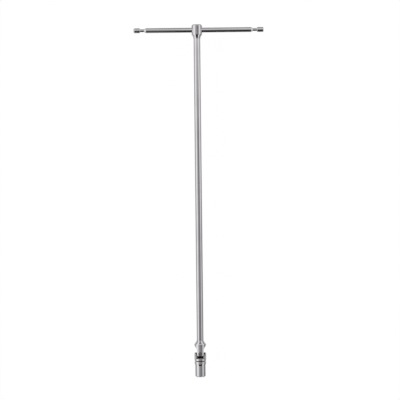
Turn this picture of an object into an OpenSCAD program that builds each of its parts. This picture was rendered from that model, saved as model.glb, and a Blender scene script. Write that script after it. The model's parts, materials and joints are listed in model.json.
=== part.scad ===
// Long T-handle socket wrench with a universal joint above its socket.
// The wrench lies flat: +Y runs up the shaft from the socket's mouth to the T-head, +X runs along
// the sliding bar, +Z points up out of the bench. The origin is the centre of the socket's mouth.

/* [Overall] */
// Length from the socket's mouth to the top of the T-head
overall_l = 470; // [420:1:520]
// Diameter of the long shaft
shaft_d = 9; // [8.6:0.1:9.4]

/* [T-head] */
// Outer diameter of the T-head
head_d = 14.1; // [13.8:0.1:14.6]
// Length of the T-head's straight part
head_l = 13.2; // [12.8:0.1:14.2]
// Length of the taper from the T-head down to the shaft
head_taper_l = 5.5; // [4.5:0.1:6.5]
// Chamfer on the T-head's top edge
head_chamfer = 1.3; // [0.8:0.1:1.6]
// Distance of the sliding bar's axis below the T-head's top
bar_drop = 7.5; // [7.2:0.1:8]

/* [Sliding bar] */
// Diameter of the sliding bar
bar_d = 6.6; // [6.2:0.1:6.8]
// Length of the sliding bar
bar_l = 173.4; // [140:0.2:200]
// How far the bar's middle sits to the +X side of the shaft
bar_offset = 2.2; // [0:0.1:6]
// Length of the knob at each end of the bar
knob_l = 8.6; // [7:0.1:10]
// Length of the straight stop groove beside each knob
groove_l = 5.6; // [5:0.1:7]
// Diameter of the bar in its stop grooves
groove_d = 3.9; // [3.6:0.1:4.4]
// Length of the cone between the stop groove and the plain bar
shoulder_l = 2.3; // [1.6:0.1:3]

/* [Detent] */
// Diameter of the detent ball under the bar
ball_d = 3; // [2.8:0.1:3.2]
// How far the ball can be pressed down into its hole
ball_travel = 0.5; // [0.3:0.1:0.8]
// Wire diameter of the detent spring
spring_wire_d = 0.4; // [0.3:0.05:0.45]
// Number of turns in the detent spring
spring_turns = 6; // [5:1:7]

/* [Universal joint] */
// Height of the two crossed pins above the socket's mouth
joint_y = 30.5; // [30:0.1:31]
// Outer diameter of the socket's fork
fork_d = 15.9; // [15.6:0.1:16.2]
// Outer diameter of the shaft's fork
yoke_d = 15.7; // [15.4:0.1:16]
// Width of both slots and of the centre block's space
slot_w = 9.7; // [9.6:0.1:9.9]
// Width of the centre block across its flats
block_w = 9.1; // [8.9:0.1:9.2]
// Width of both forks' ears
ear_w = 9.1; // [8.9:0.1:9.2]
// Radius of the centre block's two round ends
block_end_r = 5.8; // [5.6:0.1:5.9]
// Diameter of the main pin, which joins the block to the shaft's fork
main_pin_d = 3.8; // [3.4:0.1:4]
// Diameter of the cross pin, which joins the block to the socket's fork
cross_pin_d = 2.4; // [2:0.1:2.6]

/* [Socket] */
// Hexagon across its flats
hex_af = 10; // [10:0.1:10.1]
// Depth of the hexagon
hex_depth = 11; // [9:0.5:12]
// Outer diameter of the socket
socket_d = 13.8; // [13.6:0.1:14]
// Length of the socket's straight part
socket_l = 15; // [14.6:0.1:15.4]

/* [Hidden] */
$fn = 72;
eps = 0.01;           // what a cut runs past a face
run_clear = 0.05;     // radial clearance of a pin or bar that turns or slides
face_clear = (slot_w - block_w) / 2;

// T-head
head_top_y = overall_l;
head_base_y = head_top_y - head_l;
bar_y = head_top_y - bar_drop;
rod_top_y = head_base_y - head_taper_l;
bar_hole_d = bar_d + 2 * run_clear;
head_neck_r = shaft_d / 2 + 0.12;

// Spigots of the shaft, pressed into the T-head and into the fork
spigot_d = 6.2;
top_spigot_l = 5.6;
bottom_spigot_l = 8;
rod_bottom_y = 48.4;

// Detent, under the bar inside the T-head
ball_gap = 0.03;
ball_y = bar_y - bar_d / 2 - ball_gap - ball_d / 2;
detent_hole_d = ball_d + 0.16;
spring_l = 6.4;
spring_top_y = ball_y - ball_d / 2 - ball_gap;
spring_bottom_y = spring_top_y - spring_l;
spring_d = detent_hole_d - 0.2;
plug_l = 2.4;

// Shaft's fork, measured up from the joint's centre
yoke_r = yoke_d / 2;
yoke_tip = 2.7;
yoke_tip_edge = 1.4;
yoke_floor = block_end_r + face_clear;
yoke_cut_start = 6.5;
yoke_cut_end = 12.4;
yoke_ridge = 13.2;
yoke_ridge_round = 1.6;
yoke_pin_d = 1.8;
yoke_pin_y = 45.4;

// Socket's fork, measured up from the mouth
fork_r = fork_d / 2;
fork_tip = 2.1;
fork_floor_y = joint_y - block_end_r - face_clear;
fork_top_y = joint_y + fork_tip;
fork_round = 1.3;
ring_y = 20.4;
ring_w = 1.2;
ring_depth = 0.4;
tip_round = 2.6;
ear_bevel = 1.1;
floor_bevel = 0.4;

// Pin ends
main_flare = 0.6;
main_seat_d = main_pin_d + 2 * main_flare;
main_pin_reach = yoke_r - 0.35;
cross_flare = 0.5;
cross_pin_reach = fork_r - 0.2;

// Bores inside the socket
hex_corner_d = 11;
mouth_d = 11.2;
mouth_depth = 0.7;
mouth_chamfer = [1.2, 1.2];
stud_d = 7.5;
stud_bore_l = 5;

// Points on an arc about c, from angle a0 to a1
function arc(c, r, a0, a1, steps = 8) =
    [for (i = [0:steps]) let (a = a0 + (a1 - a0) * i / steps) [c[0] + r * cos(a), c[1] + r * sin(a)]];

// Turns a shape whose axis is local z so that it stands along +Y. Local y then points down (-Z).
module along_y() { rotate([-90, 0, 0]) children(); }

// A cylinder along +Y between two heights
module y_cyl(d, y0, y1) { along_y() translate([0, 0, y0]) cylinder(d = d, h = y1 - y0); }

// A cylinder along X or Z through the joint's centre
module pin_x(d, l) { translate([0, joint_y, 0]) rotate([0, 90, 0]) cylinder(d = d, h = l, center = true); }
module pin_z(d, l) { translate([0, joint_y, 0]) cylinder(d = d, h = l, center = true); }

// A peened end: a cone that widens by flare on each side over the same depth, at both ends of a pin
module flared_ends(d, reach, flare) {
    for (s = [-1, 1]) scale([1, 1, s])
        translate([0, 0, reach - flare]) cylinder(d1 = d, d2 = d + 2 * flare, h = flare);
}

// What is cut off one corner of an ear's tip: x is half the ear's width, y starts at the tip
module tip_corner(l) {
    x = ear_w / 2;
    linear_extrude(l) polygon(concat(
        [[x + 1, -1], [x - tip_round, -1]],
        arc([x - tip_round, tip_round], tip_round, -90, 0, 6),
        [[x + 1, tip_round]]
    ));
}

// Bevels the four inner edges of a fork's ears, which run along Y at x and z, so that the forks
// pass each other when the joint bends both ways at once
module ear_bevels(x, z, y0, y1) {
    side = ear_bevel * sqrt(2);
    for (i = [-1, 1], k = [-1, 1]) translate([i * x, (y0 + y1) / 2, k * z]) rotate([0, 45, 0])
        cube([side, y1 - y0, side], center = true);
}

// Long round shaft with a turned-down spigot at each end and the detent's hole in its top end
module shaft_rod() {
    color("silver") difference() {
        union() {
            y_cyl(shaft_d, rod_bottom_y, rod_top_y);
            y_cyl(spigot_d, rod_bottom_y - bottom_spigot_l, rod_top_y + top_spigot_l);
        }
        y_cyl(detent_hole_d, spring_bottom_y, rod_top_y + top_spigot_l + eps);
        translate([0, yoke_pin_y, 0]) cylinder(d = yoke_pin_d, h = spigot_d + 2, center = true);
    }
}

// T-head: a short drum on a taper, cross-drilled for the bar and drilled from the top for the detent
module t_head() {
    r = head_d / 2;
    fillet = 1.5;
    outline = concat(
        [[0, rod_top_y], [head_neck_r, rod_top_y], [head_neck_r + 0.2, rod_top_y + 1.5]],
        arc([r - fillet, head_base_y], fillet, -31, 0, 5),
        [[r, head_top_y - head_chamfer], [r - head_chamfer, head_top_y], [0, head_top_y]]
    );
    color("silver") difference() {
        along_y() rotate_extrude() polygon(outline);
        y_cyl(spigot_d, rod_top_y - eps, rod_top_y + top_spigot_l);
        y_cyl(detent_hole_d, rod_top_y, head_top_y + eps);
        translate([0, bar_y, 0]) rotate([0, 90, 0]) cylinder(d = bar_hole_d, h = head_d + 2, center = true);
    }
}

// Half of the bar's outline, as radius against distance from the middle; round is the knob's end radius
function half_bar(round) =
    let (r = bar_d / 2, knob_x = bar_l / 2 - knob_l, cone_x = knob_x - groove_l)
    concat(
        [[r, cone_x - shoulder_l], [groove_d / 2, cone_x], [groove_d / 2, knob_x - 0.35]],
        [[r - 0.35, knob_x - 0.1], [r, knob_x + 0.35]],
        arc([r - round, bar_l / 2 - round], round, 0, 90, 6)
    );

// Sliding bar, one turned piece with a stop groove and a knob at each end
module sliding_bar() {
    left = half_bar(1.3);
    right = half_bar(0.7);
    outline = concat(
        [[0, -bar_l / 2]],
        [for (i = [len(left) - 1:-1:0]) [left[i][0], -left[i][1]]],
        right,
        [[0, bar_l / 2]]
    );
    color("silver") translate([bar_offset, bar_y, 0]) rotate([0, 90, 0]) rotate_extrude() polygon(outline);
}

// Detent ball, pressed up against the underside of the bar
module detent_ball() {
    color("gainsboro") translate([0, ball_y, 0]) sphere(d = ball_d);
}

// Detent spring, a plain coil swept along a helix with its two ends closed
module detent_spring() {
    steps = 18 * spring_turns;
    sides = 8;
    coil_r = (spring_d - spring_wire_d) / 2;
    rise = spring_l - spring_wire_d;
    points = [
        for (i = [0:steps]) let (turn = 360 * spring_turns * i / steps, h = rise * i / steps)
        for (j = [0:sides - 1]) let (
            a = 360 * j / sides,
            r = coil_r + spring_wire_d / 2 * cos(a),
            z = spring_wire_d / 2 * (1 + sin(a)) + h
        ) [r * cos(turn), r * sin(turn), z]
    ];
    walls = [
        for (i = [0:steps - 1]) for (j = [0:sides - 1])
            let (k = (j + 1) % sides)
            [i * sides + j, (i + 1) * sides + j, (i + 1) * sides + k, i * sides + k]
    ];
    start = [for (j = [0:sides - 1]) j];
    end = [for (j = [sides - 1:-1:0]) steps * sides + j];
    color("dimgray") translate([0, spring_bottom_y, 0]) along_y()
        polyhedron(points = points, faces = concat(walls, [start], [end]));
}

// Plug that closes the hole drilled from the top for the ball and spring
module top_plug() {
    color("gainsboro") along_y() translate([0, 0, head_top_y - plug_l - 0.25])
        cylinder(d = detent_hole_d, h = plug_l);
}

// Shaft's fork: ears on +Z and -Z, a slot for the block between them and a cone up to the shaft
module shaft_yoke() {
    ridge_y = joint_y + yoke_ridge;
    round_c = [yoke_r - yoke_ridge_round, ridge_y - 0.4];
    cone_end = [shaft_d / 2 + 0.15, rod_bottom_y];
    outline = concat(
        [[0, joint_y - yoke_tip]],
        arc([yoke_r - yoke_tip_edge, joint_y - yoke_tip + yoke_tip_edge], yoke_tip_edge, -90, 0, 6),
        arc(round_c, yoke_ridge_round, 0, 52, 6),
        [cone_end, [0, rod_bottom_y]]
    );
    color("silver") difference() {
        along_y() rotate_extrude() polygon(outline);
        // slot for the centre block
        translate([-yoke_d, joint_y - yoke_d, -slot_w / 2]) cube([2 * yoke_d, yoke_d + yoke_floor, slot_w]);
        // flats beside the ears, opening out along a slope to the ridge
        for (s = [-1, 1]) scale([s, 1, 1]) translate([0, joint_y, -yoke_d]) linear_extrude(2 * yoke_d)
            polygon([
                [ear_w / 2, -yoke_d], [ear_w / 2, yoke_cut_start], [yoke_r + 0.2, yoke_cut_end],
                [yoke_d, yoke_cut_end], [yoke_d, -yoke_d]
            ]);
        // rounded corners of the ear tips
        for (s = [-1, 1]) scale([s, 1, 1]) translate([0, joint_y - yoke_tip, -yoke_d])
            tip_corner(2 * yoke_d);
        ear_bevels(ear_w / 2, slot_w / 2, joint_y - yoke_tip - 1, joint_y + yoke_floor);
        // bore for the main pin, with a seat for each peened end
        pin_z(main_pin_d + 2 * run_clear, 2 * yoke_d);
        translate([0, joint_y, 0]) flared_ends(main_pin_d + 2 * run_clear, main_pin_reach, main_flare);
        for (s = [-1, 1]) scale([1, 1, s]) translate([0, joint_y, main_pin_reach - eps])
            cylinder(d = main_seat_d + 2 * run_clear, h = 2);
        // socket for the shaft's spigot, and the hole of the pin that locks it
        y_cyl(spigot_d, rod_bottom_y - bottom_spigot_l, rod_bottom_y + eps);
        translate([0, yoke_pin_y, 0]) cylinder(d = yoke_pin_d, h = 2 * yoke_d, center = true);
    }
}

// Pin that locks the fork to the shaft, driven in flush and dressed to the cone
module yoke_pin() {
    pin_l = 13.6;
    color("gray") translate([0, yoke_pin_y, 0]) cylinder(d = yoke_pin_d, h = pin_l, center = true);
}

// Centre block: flat where the ears bear on it, its top round about the main pin and its bottom
// round about the cross pin
module joint_block() {
    h = block_w / 2;
    color("dimgray") difference() {
        intersection() {
            union() {
                intersection() {
                    translate([-h, joint_y - eps, -h]) cube([block_w, 2 * h, block_w]);
                    pin_z(2 * block_end_r, block_w);
                }
                intersection() {
                    translate([-h, joint_y - 2 * h, -h]) cube([block_w, 2 * h, block_w]);
                    pin_x(2 * block_end_r, block_w);
                }
            }
            translate([-h, joint_y - 2 * h, -h]) cube([block_w, 4 * h, block_w]);
        }
        pin_z(main_pin_d, 2 * block_w);
        pin_x(cross_pin_d + 2 * run_clear, 2 * block_w);
    }
}

// Main pin along Z, peened at both ends and cross-drilled for the cross pin
module main_pin() {
    color("dimgray") difference() {
        union() {
            pin_z(main_pin_d, 2 * main_pin_reach);
            translate([0, joint_y, 0]) flared_ends(main_pin_d, main_pin_reach, main_flare);
        }
        pin_x(cross_pin_d + 2 * run_clear, 2 * main_pin_d);
    }
}

// Cross pin along X, pressed into the socket's fork and peened at both ends
module cross_pin() {
    color("dimgray") translate([0, joint_y, 0]) rotate([0, 90, 0]) {
        cylinder(d = cross_pin_d, h = 2 * cross_pin_reach, center = true);
        flared_ends(cross_pin_d, cross_pin_reach, cross_flare);
    }
}

// Socket and fork in one forging: ears on +X and -X, a turned ring groove below them, and the
// hexagon in the mouth
module socket_yoke() {
    r = socket_d / 2;
    neck_r = r + 0.6;
    ring_r = neck_r + 0.2;
    outline = concat(
        [[0, 0], [r - mouth_chamfer[0], 0], [r, mouth_chamfer[1]], [r, socket_l], [neck_r, socket_l + 1.9]],
        [[ring_r, ring_y], [ring_r - ring_depth, ring_y + 0.15]],
        [[ring_r - ring_depth, ring_y + ring_w - 0.15], [ring_r, ring_y + ring_w]],
        [[fork_r - 0.15, 25.5], [fork_r, 28.5]],
        arc([fork_r - fork_round, fork_top_y - fork_round], fork_round, 0, 90, 6),
        [[0, fork_top_y]]
    );
    color("silver") difference() {
        along_y() rotate_extrude() polygon(outline);
        // slot for the centre block and for the other fork's ears
        translate([-slot_w / 2, fork_floor_y, -fork_d]) cube([slot_w, fork_d, 2 * fork_d]);
        // bevel on the slot floor's two edges, where the other fork's ear tips pass
        for (s = [-1, 1]) translate([-slot_w / 2, fork_floor_y, s * ear_w / 2]) rotate([45, 0, 0])
            translate([0, -floor_bevel / sqrt(2), -floor_bevel / sqrt(2)])
                cube([slot_w, sqrt(2) * floor_bevel, sqrt(2) * floor_bevel]);
        // flats beside the ears, down to the slot's floor
        for (s = [-1, 1]) scale([1, 1, s])
            translate([-fork_d, fork_floor_y, ear_w / 2]) cube([2 * fork_d, fork_d, fork_d]);
        // rounded corners of the ear tips
        for (s = [-1, 1]) scale([1, 1, s]) translate([0, fork_top_y, 0]) rotate([0, -90, 180])
            translate([0, 0, -fork_d]) tip_corner(2 * fork_d);
        ear_bevels(slot_w / 2, ear_w / 2, fork_floor_y, fork_top_y + 1);
        // holes for the cross pin, with a seat for each peened end
        pin_x(cross_pin_d, 2 * fork_d);
        translate([0, joint_y, 0]) rotate([0, 90, 0]) {
            flared_ends(cross_pin_d, cross_pin_reach, cross_flare);
            for (s = [-1, 1]) scale([1, 1, s]) translate([0, 0, cross_pin_reach - eps])
                cylinder(d = cross_pin_d + 2 * cross_flare, h = 2);
        }
        // hexagon with relieved corners, lead-in, and the bore for a long stud behind it
        along_y() {
            translate([0, 0, -eps]) linear_extrude(hex_depth + eps) intersection() {
                circle(r = hex_af / 2 / cos(30), $fn = 6);
                circle(d = hex_corner_d);
            }
            translate([0, 0, -eps]) cylinder(d1 = mouth_d, d2 = hex_af, h = mouth_depth);
            translate([0, 0, hex_depth - eps]) cylinder(d = stud_d, h = stud_bore_l + eps);
        }
    }
}

shaft_rod();
t_head();
sliding_bar();
detent_ball();
detent_spring();
top_plug();
shaft_yoke();
yoke_pin();
joint_block();
main_pin();
cross_pin();
socket_yoke();
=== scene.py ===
"""Looks for the T-handle universal joint socket wrench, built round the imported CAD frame.

The forks, the T-head and the locking pin are re-meshed finely and pulled onto rounded versions of their own
CAD shapes, so that every edge has the small radius of a polished forging. The shaft and the bar are turned
profiles. Lengths are in millimetres until a mesh is made; Blender itself works in metres.
"""

import json
import math

import bpy
import bmesh
import numpy as np
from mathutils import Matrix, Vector


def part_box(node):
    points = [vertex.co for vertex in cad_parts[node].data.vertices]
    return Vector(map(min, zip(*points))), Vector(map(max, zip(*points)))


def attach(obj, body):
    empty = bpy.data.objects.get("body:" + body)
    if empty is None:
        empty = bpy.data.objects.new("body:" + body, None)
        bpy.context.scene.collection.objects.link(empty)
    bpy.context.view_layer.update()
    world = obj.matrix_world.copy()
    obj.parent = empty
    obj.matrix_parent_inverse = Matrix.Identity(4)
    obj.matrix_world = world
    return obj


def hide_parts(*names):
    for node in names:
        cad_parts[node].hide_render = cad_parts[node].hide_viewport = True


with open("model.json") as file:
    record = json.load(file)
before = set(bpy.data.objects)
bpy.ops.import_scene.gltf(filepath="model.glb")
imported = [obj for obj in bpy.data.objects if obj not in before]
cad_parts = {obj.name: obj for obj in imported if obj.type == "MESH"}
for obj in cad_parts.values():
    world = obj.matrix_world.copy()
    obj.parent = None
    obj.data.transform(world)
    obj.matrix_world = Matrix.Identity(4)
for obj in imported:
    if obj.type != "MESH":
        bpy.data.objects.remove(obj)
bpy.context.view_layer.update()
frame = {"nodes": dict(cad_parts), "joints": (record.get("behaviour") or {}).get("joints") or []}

MM = 0.001
scene = bpy.context.scene

# ---------------------------------------------------------------- sizes, as in the CAD


def span(node, axis):
    """Lowest and highest place of a CAD node along one axis, in mm."""
    low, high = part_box(node)
    return low[axis] / MM, high[axis] / MM


def joint(name):
    """The record's joint of that name."""
    return next(j for j in frame["joints"] if j["name"] == name)


JOINT_Y = joint("yoke_pivot")["pos_m"][1] / MM
HEAD_TOP = span("t_head", 1)[1]
HEAD_R = span("t_head", 0)[1]
ROD_TOP = span("t_head", 1)[0]
ROD_BOTTOM = span("shaft_yoke", 1)[1]
SHAFT_R = span("shaft_rod", 0)[1]
BAR_LEFT, BAR_RIGHT = span("sliding_bar", 0)
BAR_Y = sum(span("sliding_bar", 1)) / 2
BAR_R = span("sliding_bar", 2)[1]
YOKE_R = span("shaft_yoke", 2)[1]
YOKE_TIP = span("shaft_yoke", 1)[0]
FORK_R = span("socket_yoke", 0)[1]
FORK_TOP = span("socket_yoke", 1)[1]
EAR_HALF = span("joint_block", 0)[1]
PLUG_R = span("top_plug", 0)[1]

RUN_CLEAR = 0.05
BLOCK_END_R = 5.8
FACE_CLEAR = 0.3
SLOT_HALF = EAR_HALF + FACE_CLEAR
SLOT_REACH = BLOCK_END_R + FACE_CLEAR
TIP_ROUND = 2.6
EAR_BEVEL = 1.1
FLOOR_BEVEL = 0.4

# the upper fork, measured up from the joint's centre: its ears' flats, the slope beside them and its ridge
FLAT_END = 6.5
SLOPE_END = 12.4
SLOPE_OVERRUN = 0.2
RIDGE = 13.2
YOKE_PIN_Y = sum(span("yoke_pin", 1)) / 2
YOKE_PIN_R = (span("yoke_pin", 1)[1] - span("yoke_pin", 1)[0]) / 2
PIN_SINK = 0.03

NECK_LIP = 0.12
NECK_L = 1.5
HEAD_STRAIGHT = 13.2
HEAD_CHAMFER = 1.3
SPIGOT_R = 3.1
TOP_SPIGOT = 5.6
BOTTOM_SPIGOT = 8.0
SPRING_BOTTOM = span("detent_spring", 1)[0]

KNOB_L = 8.6
GROOVE_L = 5.6
GROOVE_R = 1.95
SHOULDER_L = 2.3

# the socket's outside, measured up from its mouth: barrel, step, ring groove and the fork's widening
SOCKET_R = 6.9
SOCKET_L = 15.0
MOUTH_CHAMFER = 1.2
STEP_OUT = 0.6
STEP_UP = 1.9
RING_Y = 20.4
RING_W = 1.2
RING_TOP = RING_Y + RING_W
RING_R = 7.7
RING_DEPTH = 0.4
RING_LEAN = 0.15
WIDENS_FROM = 25.5
WIDENS_TO = 28.5
WIDENS_BY = 0.15
SOCKET_FLOOR = JOINT_Y - SLOT_REACH

HEX_HALF = 5.0
HEX_CORNER_R = 5.5
HEX_DEPTH = 11.0
LEAD_IN_R = HEX_CORNER_R + 0.1
LEAD_IN_SLOPE = 0.86
STUD_R = 3.75
STUD_END = 16.0

MAIN_R = 1.9
MAIN_FLARE = 0.6
MAIN_REACH = YOKE_R - 0.35
CROSS_R = 1.2
CROSS_FLARE = 0.5
CROSS_REACH = FORK_R - 0.2

# ---------------------------------------------------------------- outlines


def rounded(points, radii, steps=6):
    """An open outline with the corner at each inner point replaced by an arc of its radius."""
    out = [np.array(points[0], float)]
    for i in range(1, len(points) - 1):
        before, here, after = (np.array(points[j], float) for j in (i - 1, i, i + 1))
        radius = radii[i - 1]
        into, away = before - here, after - here
        reach_in, reach_out = np.linalg.norm(into), np.linalg.norm(away)
        into, away = into / reach_in, away / reach_out
        half = math.acos(max(-1.0, min(1.0, float(into @ away)))) / 2
        if radius <= 0 or half > math.radians(89.5):
            out.append(here)
            continue
        back = min(radius / math.tan(half), 0.49 * reach_in, 0.49 * reach_out)
        radius = back * math.tan(half)
        centre = here + (into + away) / np.linalg.norm(into + away) * (radius / math.sin(half))
        start, end = here + into * back - centre, here + away * back - centre
        turn = math.atan2(start[0] * end[1] - start[1] * end[0], float(start @ end))
        for k in range(steps + 1):
            a = turn * k / steps
            c, s = math.cos(a), math.sin(a)
            out.append(centre + np.array([start[0] * c - start[1] * s, start[0] * s + start[1] * c]))
    out.append(np.array(points[-1], float))
    return [tuple(p) for p in out]


def head_outline():
    """T-head: half outline as (radius, Y)."""
    base = HEAD_TOP - HEAD_STRAIGHT
    points = [
        (0, ROD_TOP), (SHAFT_R + NECK_LIP, ROD_TOP), (SHAFT_R + NECK_LIP + 0.2, ROD_TOP + NECK_L),
        (HEAD_R - 0.11, base - 0.56), (HEAD_R, base + 0.4), (HEAD_R, HEAD_TOP - HEAD_CHAMFER),
        (HEAD_R - HEAD_CHAMFER, HEAD_TOP), (0, HEAD_TOP),
    ]
    return rounded(points, [0.1, 1.6, 0.6, 0.6, 0.7, 0.5])


def yoke_outline():
    """The shaft's fork before its slots are cut."""
    ridge = JOINT_Y + RIDGE
    points = [
        (0, YOKE_TIP), (YOKE_R, YOKE_TIP), (YOKE_R, ridge), (SHAFT_R + 0.15, ROD_BOTTOM), (0, ROD_BOTTOM),
    ]
    return rounded(points, [1.4, 2.4, 0.15], 8)


def socket_outline():
    """The socket and its fork before any cut."""
    groove_r = RING_R - RING_DEPTH
    points = [
        (0, 0), (SOCKET_R - MOUTH_CHAMFER, 0), (SOCKET_R, MOUTH_CHAMFER), (SOCKET_R, SOCKET_L),
        (SOCKET_R + STEP_OUT, SOCKET_L + STEP_UP), (RING_R, RING_Y), (groove_r, RING_Y + RING_LEAN),
        (groove_r, RING_TOP - RING_LEAN), (RING_R, RING_TOP), (FORK_R - WIDENS_BY, WIDENS_FROM),
        (FORK_R, WIDENS_TO), (FORK_R, FORK_TOP), (0, FORK_TOP),
    ]
    return rounded(points, [0.3, 0.8, 0.3, 0.3, 0.2, 0.2, 0.2, 0.2, 4, 4, 1.3])


def bar_outline():
    """The sliding bar, as (radius, distance along X)."""
    def end(sign, tip, knob_round):
        knob = tip - sign * KNOB_L
        cone = knob - sign * GROOVE_L
        points = [
            (0, tip), (BAR_R, tip), (BAR_R, knob), (GROOVE_R, knob), (GROOVE_R, cone),
            (BAR_R, cone - sign * SHOULDER_L), (BAR_R, 0),
        ]
        return rounded(points, [knob_round, 0.6, 0.3, 0.8, 0.9], 8)[:-1]
    return end(-1, BAR_LEFT, 1.7) + end(1, BAR_RIGHT, 0.7)[::-1]


# ---------------------------------------------------------------- distance functions, in mm


def polygon_distance(radius, height, outline):
    """Signed distance to a half outline turned about the Y axis, negative inside."""
    nearest = np.full(radius.shape, 1e9)
    inside = np.zeros(radius.shape, bool)
    for (r1, h1), (r2, h2) in zip(outline, outline[1:] + outline[:1]):
        if r1 == 0 and r2 == 0:
            continue
        dr, dh = r2 - r1, h2 - h1
        length2 = dr * dr + dh * dh
        if length2 < 1e-12:
            continue
        t = np.clip(((radius - r1) * dr + (height - h1) * dh) / length2, 0, 1)
        gap = np.hypot(radius - r1 - t * dr, height - h1 - t * dh)
        nearest = np.minimum(nearest, gap)
        if h1 != h2:
            crosses = (h1 > height) != (h2 > height)
            inside ^= crosses & (radius < (height - h1) * dr / dh + r1)
    return np.where(inside, -nearest, nearest)


def both(a, b, r):
    """Intersection of two solids, with the edge between them rounded to radius r."""
    u, v = np.maximum(a + r, 0), np.maximum(b + r, 0)
    return np.minimum(np.maximum(a, b), -r) + np.hypot(u, v)


def cut(solid, tool, r):
    """A solid less a tool, with the edge between them rounded to radius r."""
    return both(solid, -tool, r)


def pin_hole(across, along, hole_r, flare, reach):
    """A round hole with a conical seat at each end: across is the distance from its axis."""
    seat = (across - hole_r - (np.abs(along) - (reach - flare))) / math.sqrt(2)
    return np.minimum(across - hole_r, np.maximum(seat, across - hole_r - flare))


def head_shape(x, y, z):
    """T-head, cross-drilled for the bar, with the holes of the detent and of the shaft's spigot."""
    around = np.hypot(x, z)
    solid = polygon_distance(around, y, head_outline())
    solid = cut(solid, np.hypot(y - BAR_Y, z) - BAR_R - RUN_CLEAR, 0.45)
    solid = cut(solid, around - PLUG_R, 0.25)
    spigot = np.maximum(around - SPIGOT_R, y - ROD_TOP - TOP_SPIGOT)
    return cut(solid, spigot, 0.05)


def yoke_shape(x, y, z):
    """The shaft's fork: ears on +Z and -Z."""
    up, ax, az = y - JOINT_Y, np.abs(x), np.abs(z)
    around = np.hypot(x, z)
    solid = polygon_distance(around, y, yoke_outline())
    # sides cut away beside the ears, then sloping out to the ridge
    slope = np.array([YOKE_R + SLOPE_OVERRUN - EAR_HALF, SLOPE_END - FLAT_END])
    slope = slope / np.linalg.norm(slope)
    beyond = (ax - EAR_HALF) * slope[1] - (up - FLAT_END) * slope[0]
    ear = both(ax - EAR_HALF, YOKE_TIP - y, TIP_ROUND)
    sides = np.where(up > FLAT_END, np.maximum(-beyond, up - SLOPE_END), -ear)
    solid = cut(solid, sides, 0.3)
    # slot for the block
    slot = both(az - SLOT_HALF, up - SLOT_REACH, 0.8)
    solid = cut(solid, slot, 0.3)
    bevel = np.maximum(((az - SLOT_HALF) - (ax - EAR_HALF) - EAR_BEVEL) / math.sqrt(2), up - SLOT_REACH)
    solid = cut(solid, bevel, 0.2)
    pin = pin_hole(np.hypot(x, up), z, MAIN_R + RUN_CLEAR, MAIN_FLARE, MAIN_REACH)
    solid = cut(solid, pin, 0.2)
    spigot = np.maximum(around - SPIGOT_R, ROD_BOTTOM - BOTTOM_SPIGOT - y)
    solid = cut(solid, spigot, 0.05)
    return cut(solid, np.hypot(x, y - YOKE_PIN_Y) - YOKE_PIN_R, 0.12)


def locking_pin_shape(x, y, z):
    """The pin that locks the upper fork to the shaft, its ends dressed flush with the fork's cone."""
    flush = polygon_distance(np.hypot(x, z), y, yoke_outline()) + PIN_SINK
    return both(np.hypot(x, y - YOKE_PIN_Y) - YOKE_PIN_R, flush, 0.1)


def socket_shape(x, y, z):
    """The socket and its fork: ears on +X and -X, hexagon in the mouth."""
    ax, az = np.abs(x), np.abs(z)
    around = np.hypot(x, z)
    solid = polygon_distance(around, y, socket_outline())
    # flats beside the ears, down to the slot's floor
    ear = both(az - EAR_HALF, y - FORK_TOP, TIP_ROUND)
    solid = cut(solid, np.maximum(-ear, SOCKET_FLOOR - y), 0.25)
    # slot for the block
    slot = both(ax - SLOT_HALF, SOCKET_FLOOR - y, 0.7)
    solid = cut(solid, slot, 0.35)
    bevel = ((ax - SLOT_HALF) - (az - EAR_HALF) - EAR_BEVEL) / math.sqrt(2)
    bevel = np.maximum(bevel, SOCKET_FLOOR + FLOOR_BEVEL - y)
    solid = cut(solid, bevel, 0.2)
    pin = pin_hole(np.hypot(y - JOINT_Y, z), x, CROSS_R, CROSS_FLARE, CROSS_REACH)
    solid = cut(solid, pin, 0.2)
    # hexagon with relieved corners, lead-in and stud bore
    hexagon = np.maximum(az, 0.5 * az + math.sqrt(0.75) * ax) - HEX_HALF
    hexagon = np.maximum(both(hexagon, around - HEX_CORNER_R, 0.3), y - HEX_DEPTH)
    lead_in = (around - LEAD_IN_R + y * LEAD_IN_SLOPE) / math.hypot(1, LEAD_IN_SLOPE)
    solid = cut(solid, np.minimum(hexagon, lead_in), 0.12)
    stud = np.maximum(around - STUD_R, y - STUD_END)
    return cut(solid, stud, 0.2)


# ---------------------------------------------------------------- meshes


def link(name, mesh):
    """A new object of that mesh, in the scene."""
    obj = bpy.data.objects.new(name, mesh)
    scene.collection.objects.link(obj)
    return obj


def shade_smooth(mesh):
    """Smooth shading on every face."""
    mesh.polygons.foreach_set("use_smooth", [True] * len(mesh.polygons))


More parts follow.
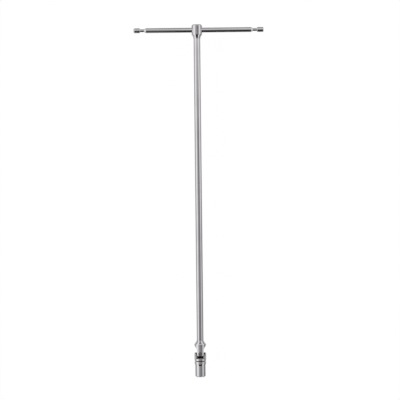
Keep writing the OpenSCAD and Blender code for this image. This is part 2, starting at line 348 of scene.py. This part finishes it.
def turned(name, outline, axis, centre_y=0.0, sides=160):
    """A solid of revolution from a half outline that starts and ends on its axis, about Y or X."""
    points = [p for i, p in enumerate(outline) if i == 0 or math.dist(p, outline[i - 1]) > 1e-4]
    rings = points[1:-1]
    verts, faces = [], []

    def place(r, along, a):
        u, v = r * math.sin(a), r * math.cos(a)
        if axis == "Y":
            return u * MM, (along + centre_y) * MM, v * MM
        return along * MM, (u + centre_y) * MM, v * MM

    for r, along in rings:
        verts += [place(r, along, math.tau * k / sides) for k in range(sides)]
    first = len(verts)
    verts += [place(0, points[0][1], 0), place(0, points[-1][1], 0)]
    for i in range(len(rings) - 1):
        for k in range(sides):
            n = (k + 1) % sides
            faces.append((i * sides + k, i * sides + n, (i + 1) * sides + n, (i + 1) * sides + k))
    last = (len(rings) - 1) * sides
    for k in range(sides):
        n = (k + 1) % sides
        faces.append((first, n, k))
        faces.append((first + 1, last + k, last + n))
    mesh = bpy.data.meshes.new(name)
    mesh.from_pydata(verts, [], faces)
    mesh.validate()
    shade_smooth(mesh)
    obj = link(name, mesh)
    fix_normals(mesh)
    mesh.set_sharp_from_angle(angle=math.radians(38))
    return obj


def fix_normals(mesh):
    """All faces outwards."""
    bm = bmesh.new()
    bm.from_mesh(mesh)
    bmesh.ops.recalc_face_normals(bm, faces=bm.faces)
    bm.to_mesh(mesh)
    bm.free()


def slope_of(shape, p, step=0.01):
    """The distance and its gradient at points p, in mm."""
    here = shape(*p.T)
    grad = np.empty_like(p)
    for i in range(3):
        q = p.copy()
        q[:, i] += step
        ahead = shape(*q.T)
        q[:, i] -= 2 * step
        grad[:, i] = (ahead - shape(*q.T)) / (2 * step)
    return here, grad


def forged(name, node, shape, voxel, pulls=5):
    """A fine, even mesh of a CAD node, pulled onto the rounded shape in a few steps."""
    source = frame["nodes"][node]
    obj = link(name, source.data.copy())
    remesh = obj.modifiers.new("remesh", "REMESH")
    remesh.mode = "VOXEL"
    remesh.voxel_size = voxel * MM
    depsgraph = bpy.context.evaluated_depsgraph_get()
    mesh = bpy.data.meshes.new_from_object(obj.evaluated_get(depsgraph))
    obj.modifiers.clear()
    obj.data = mesh
    mesh.name = name
    co = np.empty(len(mesh.vertices) * 3, np.float32)
    mesh.vertices.foreach_get("co", co)
    p = co.reshape(-1, 3).astype(float) / MM
    for _ in range(pulls):
        here, grad = slope_of(shape, p)
        steep = np.maximum((grad * grad).sum(1), 0.25)
        move = grad * (here / steep)[:, None]
        size = np.linalg.norm(move, axis=1)
        p -= move * np.minimum(1, voxel / np.maximum(size, 1e-9))[:, None]
    _, grad = slope_of(shape, p, 0.02)
    mesh.vertices.foreach_set("co", (p * MM).astype(np.float32).ravel())
    mesh.update()
    shade_smooth(mesh)
    length = np.linalg.norm(grad, axis=1)
    normals = grad / np.maximum(length, 1e-9)[:, None]
    mesh.normals_split_custom_set_from_vertices(normals.tolist())
    mesh.materials.clear()
    return obj


def bevelled(node, width):
    """Rounds a CAD node's edges with a modifier; its own mesh stays as it is."""
    obj = frame["nodes"][node]
    bevel = obj.modifiers.new("bevel", "BEVEL")
    bevel.width = width * MM
    bevel.segments = 3
    bevel.limit_method = "ANGLE"
    bevel.angle_limit = math.radians(40)
    return obj


# ---------------------------------------------------------------- materials


class Nodes:
    """Short calls to build a node tree."""

    def __init__(self, tree):
        self.tree = tree
        self.tree.nodes.clear()

    def add(self, kind, **settings):
        """A node with its properties set; an input is set by name through 'inputs'."""
        inputs = settings.pop("inputs", {})
        made = self.tree.nodes.new(kind)
        for key, value in settings.items():
            setattr(made, key, value)
        for key, value in inputs.items():
            if isinstance(value, bpy.types.NodeSocket):
                self.tree.links.new(value, made.inputs[key])
            else:
                made.inputs[key].default_value = value
        return made

    def math(self, operation, a, b=0.0, c=0.0):
        """One Math node's result."""
        return self.add("ShaderNodeMath", operation=operation, inputs={0: a, 1: b, 2: c}).outputs[0]

    def ramp(self, value, low, high, to_low, to_high):
        """A value mapped from one range to another, clamped."""
        made = self.add("ShaderNodeMapRange", clamp=True, inputs={
            "Value": value, "From Min": low, "From Max": high, "To Min": to_low, "To Max": to_high,
        })
        return made.outputs["Result"]

    def noise(self, coordinates, scale, stretch=(1, 1, 1), detail=3.0, roughness=0.5):
        """Noise over stretched coordinates."""
        mapping = self.add("ShaderNodeMapping", inputs={"Vector": coordinates, "Scale": stretch})
        made = self.add("ShaderNodeTexNoise", inputs={
            "Vector": mapping.outputs[0], "Scale": scale, "Detail": detail, "Roughness": roughness,
        })
        return made.outputs["Fac"]

    def mix(self, factor, a, b):
        """Two colours mixed."""
        made = self.add("ShaderNodeMix", data_type="RGBA", inputs={0: factor})
        for index, value in ((6, a), (7, b)):
            if isinstance(value, bpy.types.NodeSocket):
                self.tree.links.new(value, made.inputs[index])
            else:
                made.inputs[index].default_value = (*value, 1.0)
        return made.outputs[2]


def groove_shade_mask(n, place):
    """1 at the bottom of the socket's ring groove, in front and behind, and 0 elsewhere: where shade is
    painted into the groove.
    """
    x, y, z = n.add("ShaderNodeSeparateXYZ", inputs={0: place}).outputs
    radius = n.math("SQRT", n.math("ADD", n.math("MULTIPLY", x, x), n.math("MULTIPLY", z, z)))
    mask = n.ramp(radius, (RING_R - 0.16) * MM, (RING_R - 0.08) * MM, 1, 0)
    mask = n.math("MULTIPLY", mask, n.ramp(y, (RING_Y - 0.05) * MM, (RING_Y + 0.05) * MM, 0, 1))
    mask = n.math("MULTIPLY", mask, n.ramp(y, (RING_TOP - 0.05) * MM, (RING_TOP + 0.05) * MM, 1, 0))
    side = n.math("ABSOLUTE", x)
    return n.math("MULTIPLY", mask, n.ramp(side, SLOT_HALF * MM, (SLOT_HALF + 0.8) * MM, 1, 0))


# a light and a dark tone for each metal
GROUND_CHROME = ((0.80, 0.78, 0.80), (0.74, 0.72, 0.745))
FORGED_CHROME = ((0.80, 0.785, 0.805), (0.73, 0.715, 0.74))
PIN_STEEL = ((0.36, 0.31, 0.30), (0.24, 0.21, 0.20))
# painted shade: a near-black steel for the joint block and the socket's slot, standing in for the shade
# inside the joint
PAINTED_SHADE_STEEL = ((0.032, 0.030, 0.029), (0.016, 0.015, 0.015))
BALL_STEEL = ((0.62, 0.62, 0.63), (0.55, 0.55, 0.56))
WIRE_STEEL = ((0.28, 0.28, 0.29), (0.16, 0.16, 0.165))
# painted shade: a near-black tone laid into the bottom of the socket's ring groove, for the shade in that
# crevice
GROOVE_SHADE_TONE = (0.02, 0.019, 0.019)
GROOVE_ROUGH = 0.45

# how fine each noise is, in cycles to a metre
CLOUDS = 45
SMEARS = 220
LINES = 260
PITS = 1400


def metal(name, tones, rough, grain, scratch_along, bump, spots=0.0, groove=False):
    """Polished or ground metal: two tones in soft clouds, roughness in smears, and fine lines one way.

    groove paints shade into the bottom of the socket's ring groove: a near-black tone that stands in for
    the shade in that crevice.
    """
    light, dark = tones
    material = bpy.data.materials.new(name)
    material.use_nodes = True
    n = Nodes(material.node_tree)
    place = n.add("ShaderNodeTexCoord").outputs["Object"]
    clouds = n.noise(place, CLOUDS, detail=4)
    smears = n.noise(place, SMEARS, detail=5, roughness=0.6)
    stretch = [1.0 if axis == scratch_along else grain for axis in "XYZ"]
    lines = n.noise(place, LINES, stretch=stretch, detail=2)
    colour = n.mix(n.ramp(clouds, 0.35, 0.65, 0, 1), dark, light)
    if spots:
        pits = n.noise(place, PITS, detail=2)
        colour = n.mix(n.ramp(pits, 0.66, 0.74, 0, spots), colour, tuple(c * 0.35 for c in dark))
    wear = n.math("ADD", n.math("MULTIPLY", smears, 0.6), n.math("MULTIPLY", lines, 0.4))
    roughness = n.ramp(wear, 0.3, 0.7, rough[0], rough[1])
    # painted shade: the ring groove's bottom darkened to near black
    if groove:
        mask = groove_shade_mask(n, place)
        colour = n.mix(mask, colour, GROOVE_SHADE_TONE)
        roughness = n.math("MAXIMUM", roughness, n.math("MULTIPLY", mask, GROOVE_ROUGH))
    relief = n.add("ShaderNodeBump", inputs={"Strength": bump, "Distance": 0.00002, "Height": lines})
    shader = n.add("ShaderNodeBsdfPrincipled", inputs={
        "Base Color": colour, "Metallic": 1.0, "Roughness": roughness, "Normal": relief.outputs[0],
    })
    n.add("ShaderNodeOutputMaterial", inputs={"Surface": shader.outputs[0]})
    return material


def make_materials():
    """One material for each finish."""
    chrome = (0.05, 0.12)
    forging = (0.06, 0.15)
    bare = (0.3, 0.5)
    return {
        "shaft": metal("chrome_on_ground_bar", GROUND_CHROME, chrome, 30, "Y", 0.06),
        "bar": metal("chrome_on_turned_bar", GROUND_CHROME, chrome, 30, "X", 0.06),
        "forging": metal("chrome_on_forging", FORGED_CHROME, forging, 12, "Y", 0.08),
        # the socket's chrome carries the painted shade in its ring groove
        "socket": metal("chrome_on_socket_with_painted_groove_shade", FORGED_CHROME, forging, 12, "Y", 0.08, groove=True),
        "pin": metal("bare_pin_steel", PIN_STEEL, bare, 3, "Z", 0.3, spots=0.6),
        # painted shade: near-black steel for the joint block and the socket's slot
        "dark": metal("steel_painted_shade_black", PAINTED_SHADE_STEEL, bare, 8, "X", 0.3, spots=0.5),
        "ball": metal("polished_ball_steel", BALL_STEEL, (0.05, 0.1), 1, "Y", 0.02),
        "spring": metal("drawn_spring_wire", WIRE_STEEL, (0.3, 0.45), 1, "Y", 0.1),
    }


# ---------------------------------------------------------------- pieces


def dress(obj, material, body, slot, *nodes):
    """Gives a new piece its material and body, and hides the CAD nodes that it stands for; slot is not
    used.
    """
    obj.data.materials.clear()
    obj.data.materials.append(material)
    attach(obj, body)
    if nodes:
        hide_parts(*nodes)


def rod_outline():
    """The shaft with its two spigots and the spring's hole in its top end."""
    hole = span("detent_ball", 0)[1] + 0.08
    points = [
        (0, ROD_BOTTOM - BOTTOM_SPIGOT), (SPIGOT_R, ROD_BOTTOM - BOTTOM_SPIGOT), (SPIGOT_R, ROD_BOTTOM),
        (SHAFT_R, ROD_BOTTOM), (SHAFT_R, ROD_TOP), (SPIGOT_R, ROD_TOP), (SPIGOT_R, ROD_TOP + TOP_SPIGOT),
        (hole, ROD_TOP + TOP_SPIGOT), (hole, SPRING_BOTTOM), (0, SPRING_BOTTOM),
    ]
    return rounded(points, [0.3, 0, 0.12, 0.12, 0, 0.3, 0.1, 0.1], 4)


def socket_faces_painted_shade(mesh, material):
    """Painted shade: the socket's fork takes the near-black steel in its slot and on its ears' ends, for
    the shade there.
    """
    edge = 0.15
    tip_depth = 2
    tip_width = 1.9
    mesh.materials.append(material)
    for face in mesh.polygons:
        x, y, _ = face.center / MM
        across = abs(x)
        in_slot = y > SOCKET_FLOOR - 0.1 and across < SLOT_HALF + edge
        faces_up = face.normal.y > 0.3
        on_end = y > FORK_TOP - tip_depth and faces_up and across < SLOT_HALF + tip_width
        # painted shade: these faces take the near-black steel
        if in_slot or on_end:
            face.material_index = 1


def make_pieces(materials):
    """Every piece of the wrench."""
    rod = turned("shaft", rod_outline(), "Y")
    dress(rod, materials["shaft"], "shaft", "chrome_shaft", "shaft_rod")
    bar = turned("bar", bar_outline(), "X", centre_y=BAR_Y)
    dress(bar, materials["bar"], "bar", "chrome_shaft", "sliding_bar")
    head = forged("head", "t_head", head_shape, voxel=0.22)
    dress(head, materials["forging"], "shaft", "chrome_forging", "t_head")
    yoke = forged("upper_fork", "shaft_yoke", yoke_shape, voxel=0.18)
    dress(yoke, materials["forging"], "shaft", "chrome_forging", "shaft_yoke")
    socket = forged("socket_and_fork", "socket_yoke", socket_shape, voxel=0.18)
    dress(socket, materials["socket"], "socket", "chrome_forging", "socket_yoke")
    # painted shade in the socket's slot and on its ears' ends
    socket_faces_painted_shade(socket.data, materials["dark"])
    locking_pin = forged("locking_pin", "yoke_pin", locking_pin_shape, voxel=0.12)
    dress(locking_pin, materials["pin"], "shaft", "pin_steel", "yoke_pin")
    # the CAD nodes that stay: each one's material, and the width of its bevel
    kept = {
        # the joint block takes the near-black steel of painted shade
        "joint_block": ("dark", 0.35), "main_pin": ("pin", 0.15), "cross_pin": ("pin", 0.12),
        "top_plug": ("forging", 0.2), "detent_ball": ("ball", 0), "detent_spring": ("spring", 0),
    }
    for node, (finish, width) in kept.items():
        obj = bevelled(node, width) if width else frame["nodes"][node]
        obj.data.materials.clear()
        obj.data.materials.append(materials[finish])


# ---------------------------------------------------------------- stage, light and camera


# how far the table lies below the wrench, in mm, and how brightly it glows
BEND_ROOM = 16.0
GLOW = 1.06


def make_floor():
    """A plain white table, lit from inside, low enough that the bent socket stays above it."""
    half = 30.0
    height = -(FORK_R + BEND_ROOM) * MM
    mesh = bpy.data.meshes.new("floor")
    corners = [(-half, -half, height), (half, -half, height), (half, half, height), (-half, half, height)]
    mesh.from_pydata(corners, [], [(0, 1, 2, 3)])
    floor = link("floor", mesh)
    material = bpy.data.materials.new("white_table")
    material.use_nodes = True
    n = Nodes(material.node_tree)
    matt = n.add("ShaderNodeBsdfDiffuse", inputs={"Color": (0.9, 0.9, 0.9, 1)})
    glow = n.add("ShaderNodeEmission", inputs={"Color": (1, 1, 1, 1), "Strength": GLOW})
    blend = n.add("ShaderNodeMixShader", inputs={0: 0.9, 1: matt.outputs[0], 2: glow.outputs[0]})
    n.add("ShaderNodeOutputMaterial", inputs={"Surface": blend.outputs[0]})
    mesh.materials.append(material)
    floor.visible_glossy = False


def curve_of(n, angle, stops):
    """A brightness that follows an angle in degrees, through the given (angle, brightness) stops."""
    ramp = n.add("ShaderNodeValToRGB", inputs={0: n.ramp(angle, -180, 180, 0, 1)})
    bands = ramp.color_ramp
    while len(bands.elements) > 1:
        bands.elements.remove(bands.elements[-1])
    for i, (at, value) in enumerate(stops):
        element = bands.elements[0] if i == 0 else bands.elements.new((at + 180) / 360)
        element.position = (at + 180) / 360
        element.color = (value, value, value, 1)
    return ramp.outputs[0]


# Brightness against the angle from straight up: towards +X for the sides, towards +Y for the middle.
SIDE_LIGHT = [
    (-180, 0.42), (-150, 0.37), (-122, 0.42), (-106, 0.30), (-90, 0.32), (-82, 0.82), (-44, 0.76),
    (-26, 0.31), (-8, 0.28), (12, 0.17), (30, 0.15), (40, 0.38), (52, 0.74), (78, 0.78), (90, 0.24),
    (108, 0.24), (124, 0.44), (180, 0.42),
]
MIDDLE_LIGHT = [
    (-180, 0.9), (-150, 0.8), (-135, 0.45), (-124, 0.30), (-118, 0.004), (-29, 0.004), (-16, 0.16),
    (0, 0.27), (16, 0.58), (56, 0.60), (68, 0.24), (110, 0.20), (140, 0.26), (158, 0.8), (180, 0.9),
]
LIGHT = 1.25


def make_world():
    """Studio light: two long soft boxes beside the wrench, a dim ceiling and a black card at its foot."""
    world = bpy.data.worlds.new("studio")
    scene.world = world
    world.use_nodes = True
    n = Nodes(world.node_tree)
    split = n.add("ShaderNodeSeparateXYZ", inputs={0: n.add("ShaderNodeTexCoord").outputs["Generated"]})
    x, y, z = split.outputs
    degrees = 180 / math.pi
    across = n.math("MULTIPLY", n.math("ARCTAN2", x, z), degrees)
    along = n.math("MULTIPLY", n.math("ARCTAN2", y, z), degrees)
    sides = curve_of(n, across, SIDE_LIGHT)
    middle = curve_of(n, along, MIDDLE_LIGHT)
    level = n.math("SQRT", n.math("ADD", n.math("MULTIPLY", x, x), n.math("MULTIPLY", z, z)))
    off_axis = n.math("ABSOLUTE", n.math("DIVIDE", x, n.math("MAXIMUM", level, 0.001)))
    pitch = n.math("ABSOLUTE", y)
    share = n.math("MULTIPLY", n.ramp(off_axis, 0.58, 0.74, 1, 0), n.ramp(pitch, 0.05, 0.35, 0, 1))
    # a pale gap in the black card, which the bar's left end mirrors
    gap = n.math("MULTIPLY", n.ramp(x, -0.034, -0.016, 0.28, 0), n.ramp(x, -0.06, -0.045, 0, 1))
    share = n.math("MULTIPLY", share, n.math("SUBTRACT", 1.0, gap))
    # the right-hand box is weaker towards the socket
    weaker = n.math("MULTIPLY", n.ramp(y, -0.075, 0.075, 0.28, 0), n.ramp(x, 0.5, 0.75, 0, 1))
    sides = n.mix(weaker, sides, (0.0, 0.0, 0.0))
    colour = n.add("ShaderNodeMix", data_type="RGBA", inputs={0: share})
    world.node_tree.links.new(sides, colour.inputs[6])
    world.node_tree.links.new(middle, colour.inputs[7])
    light = n.add("ShaderNodeBackground", inputs={"Color": colour.outputs[2], "Strength": LIGHT})
    backdrop = n.add("ShaderNodeBackground", inputs={"Color": (0.99, 0.99, 0.99, 1), "Strength": 1.0})
    seen = n.add("ShaderNodeLightPath").outputs["Is Camera Ray"]
    blend = n.add("ShaderNodeMixShader", inputs={0: seen, 1: light.outputs[0], 2: backdrop.outputs[0]})
    n.add("ShaderNodeOutputWorld", inputs={"Surface": blend.outputs[0]})


def make_camera():
    """A long lens looking straight down, so that there is next to no perspective, as in the photograph."""
    camera = bpy.data.cameras.new("camera")
    camera.lens = 200
    camera.sensor_width = 36
    obj = link("camera", camera)
    view_width = 533.6 * MM
    distance = view_width / 2 / (camera.sensor_width / 2 / camera.lens)
    roll = math.radians(0.62)
    aim_x, aim_up = 1.8, 0.9
    middle = Vector((aim_x * MM, (HEAD_TOP / 2 + aim_up) * MM, 0))
    obj.location = middle + Vector((0, 0, distance))
    obj.rotation_euler = (0, 0, -roll)
    camera.clip_end = 50
    scene.camera = obj


scene.view_settings.view_transform = "Standard"
make_camera()
make_floor()
make_world()
make_pieces(make_materials())
